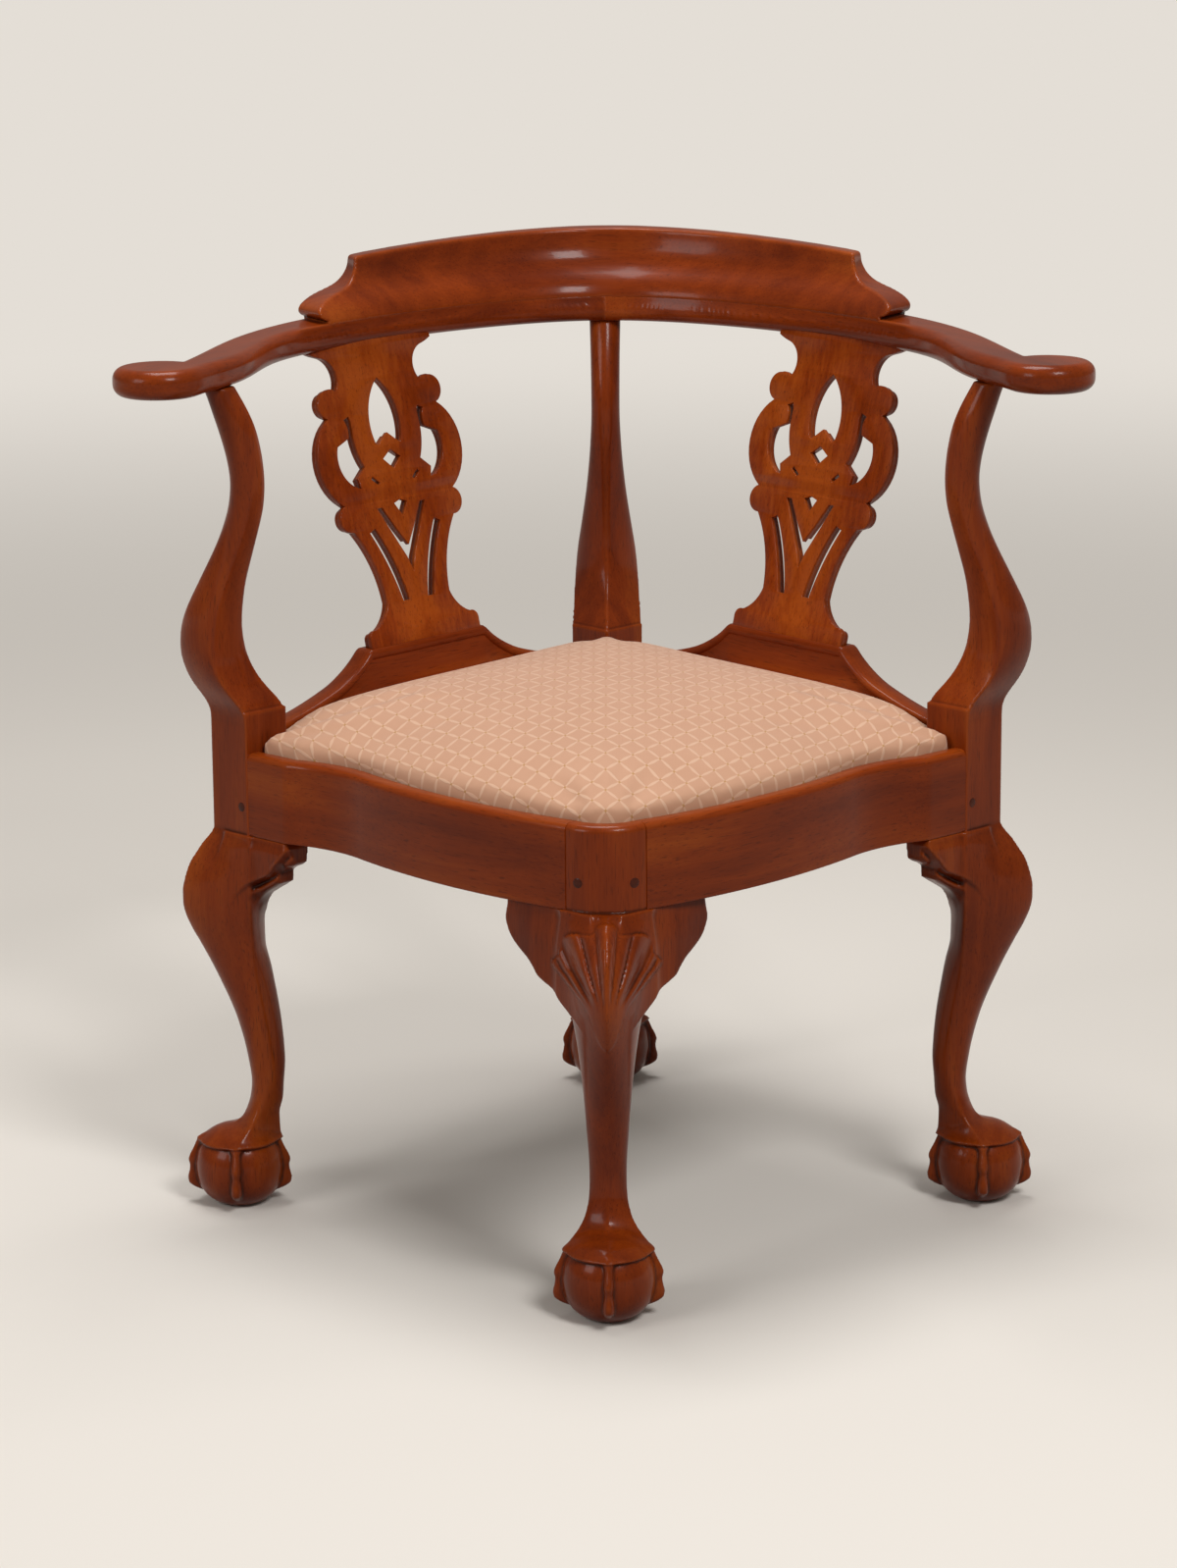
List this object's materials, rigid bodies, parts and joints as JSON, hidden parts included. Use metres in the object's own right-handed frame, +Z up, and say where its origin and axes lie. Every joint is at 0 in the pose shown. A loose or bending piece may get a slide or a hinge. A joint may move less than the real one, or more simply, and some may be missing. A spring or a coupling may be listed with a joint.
{
  "type": "corner chair",
  "caption": "Square corner chair with a leg at the front corner, curved two-part arm with crest, pierced splats, clawed cabriole legs and a lift-out upholstered seat.",
  "frame": {"origin": "on the floor, under the centre of the outline", "axes": "+Z up, -Y towards the front corner and its leg, +X to the viewer's right when the chair is seen from the front"},
  "size_m": [0.765, 0.701, 0.765],
  "materials": {
    "lacquered_cherry": "satin lacquer over stained cherry",
    "secondary_wood": "planed, unfinished",
    "steel": "dull",
    "seat_fabric": "woven, raised lattice figure",
    "stuffing": "felted fibre",
    "webbing": "plain woven jute",
    "hessian": "open woven jute",
    "dust_cloth": "thin woven cloth"
  },
  "bodies": {
    "frame": {"front_leg": "lacquered_cherry", "left_leg": "lacquered_cherry", "right_leg": "lacquered_cherry", "rear_leg": "lacquered_cherry", "front_left_rail": "lacquered_cherry", "front_right_rail": "lacquered_cherry", "rear_left_rail": "lacquered_cherry", "rear_right_rail": "lacquered_cherry", "front_leg_left_knee_block": "lacquered_cherry", "front_leg_right_knee_block": "lacquered_cherry", "left_leg_front_knee_block": "lacquered_cherry", "left_leg_rear_knee_block": "lacquered_cherry", "right_leg_front_knee_block": "lacquered_cherry", "right_leg_rear_knee_block": "lacquered_cherry", "rear_leg_left_knee_block": "lacquered_cherry", "rear_leg_right_knee_block": "lacquered_cherry", "left_splat": "lacquered_cherry", "right_splat": "lacquered_cherry", "left_splat_shoe": "lacquered_cherry", "right_splat_shoe": "lacquered_cherry", "left_arm": "lacquered_cherry", "right_arm": "lacquered_cherry", "crest_rail": "lacquered_cherry", "rail_pegs": "lacquered_cherry", "front_corner_block": "secondary_wood", "left_corner_block": "secondary_wood", "right_corner_block": "secondary_wood", "rear_corner_block": "secondary_wood", "corner_block_screws": "steel", "crest_screws": "steel"},
    "seat": {"seat_frame_front_left": "secondary_wood", "seat_frame_front_right": "secondary_wood", "seat_frame_rear_left": "secondary_wood", "seat_frame_rear_right": "secondary_wood", "seat_webbing": "webbing", "seat_hessian": "hessian", "seat_stuffing": "stuffing", "seat_cover": "seat_fabric", "seat_dust_cover": "dust_cloth", "seat_tacks": "steel"}
  },
  "joints": [
    {"name": "seat_lift", "type": "slide", "parent": "frame", "child": "seat", "axis": [0, 0, 1], "range_m": [0, 0.12]}
  ]
}
